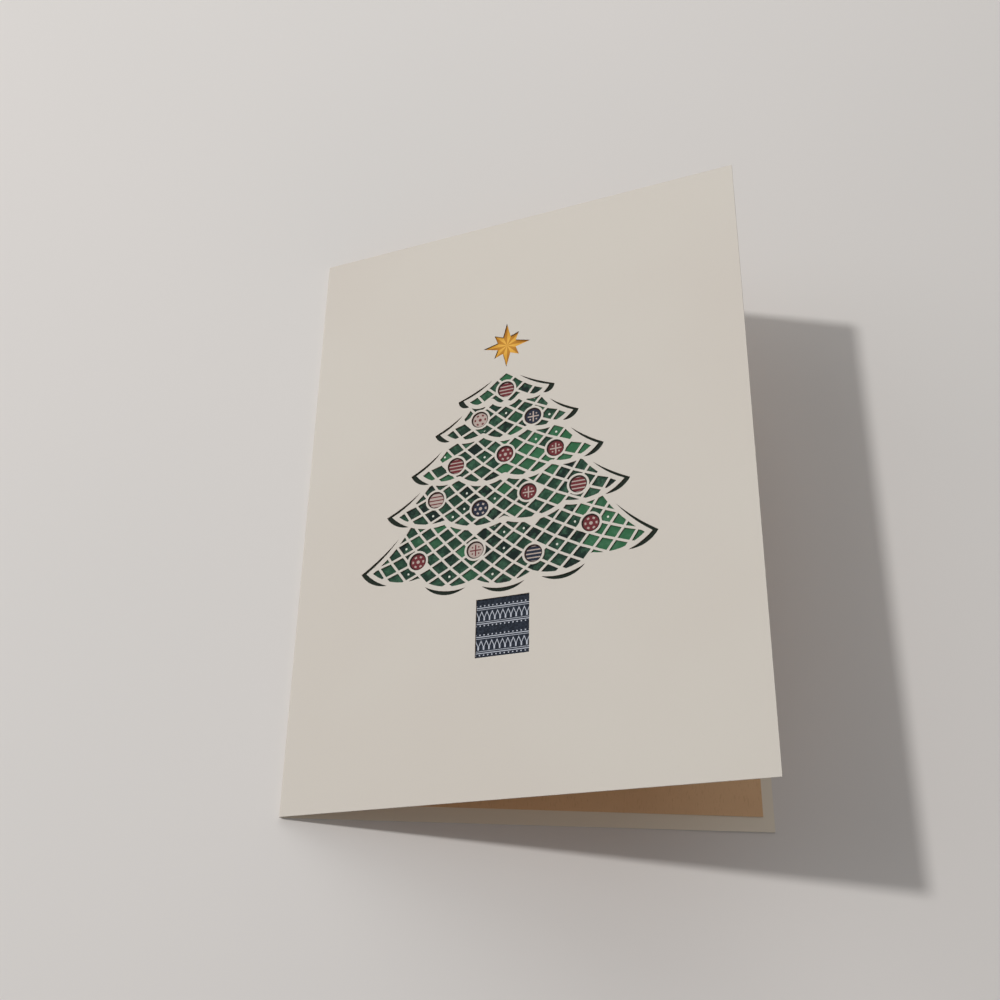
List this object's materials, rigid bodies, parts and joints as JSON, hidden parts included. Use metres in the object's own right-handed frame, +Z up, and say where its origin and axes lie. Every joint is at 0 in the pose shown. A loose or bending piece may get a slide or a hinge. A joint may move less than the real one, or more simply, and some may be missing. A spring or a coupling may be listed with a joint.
{
  "type": "pop up card",
  "caption": "Folded card that stands part open, with a tree cut through its front over a printed sheet, a tan lining, and a slotted pop-up tree inside.",
  "frame": {"origin": "middle of the underside of the object's bounding box, on the surface that the card lies on", "axes": "+Y along the fold, up the printed tree; +X from the fold to the free edges; +Z up, away from the table"},
  "size_m": [0.1501, 0.2, 0.0689],
  "materials": {
    "cover_card": "matte cream card",
    "printed_sheet": "matte print in greens",
    "tan_sheet": "matte tan card",
    "green_card": "matte green card",
    "gold_card": "matte gold card"
  },
  "bodies": {
    "root": {"cover": "cover_card", "printed_backing": "printed_sheet", "inner_sheet": "tan_sheet", "tree_slice_left_1": "green_card", "tree_slice_left_2": "green_card", "tree_slice_left_3": "green_card", "tree_slice_left_4": "green_card", "tree_slice_left_5": "green_card", "tree_slice_right_1": "green_card", "tree_slice_right_2": "green_card", "tree_slice_right_3": "green_card", "tree_slice_right_4": "green_card", "tree_slice_right_5": "green_card", "tree_star": "gold_card"}
  },
  "joints": []
}
